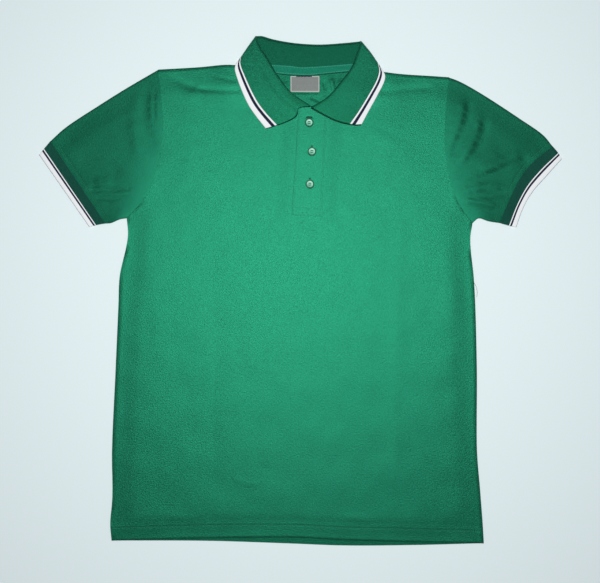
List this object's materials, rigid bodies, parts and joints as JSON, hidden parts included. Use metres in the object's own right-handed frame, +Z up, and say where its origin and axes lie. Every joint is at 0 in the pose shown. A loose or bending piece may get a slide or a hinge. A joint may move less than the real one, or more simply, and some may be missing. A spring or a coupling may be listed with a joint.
{
  "type": "polo shirt laid flat",
  "caption": "Short-sleeved knitted polo shirt laid flat, front up, with a striped rib collar and cuffs, a buttoned placket and side vents.",
  "frame": {"origin": "middle of the shirt's box, on the surface that it lies on", "axes": "+X towards the wearer's left sleeve, +Y from the hem to the collar, +Z up out of the shirt's front"},
  "size_m": [0.7648, 0.7448, 0.01],
  "materials": {
    "pique_knit": "green pique knit with a slight sheen",
    "collar_rib": "green flat knit with white and navy edge stripes",
    "cuff_rib": "dark green rib knit with white and navy edge stripes",
    "neck_tape": "green woven tape",
    "label": "plain grey woven label with a pale border",
    "button": "glossy green four-hole buttons"
  },
  "bodies": {
    "root": {"back_panel": "pique_knit", "front_panel": "pique_knit", "sleeve_left": "pique_knit", "sleeve_right": "pique_knit", "cuff_left": "cuff_rib", "cuff_right": "cuff_rib", "collar": "collar_rib", "placket_upper": "pique_knit", "placket_lower": "pique_knit", "neck_tape": "neck_tape", "neck_label": "label", "button_top": "button", "button_middle": "button", "button_bottom": "button"}
  },
  "joints": []
}
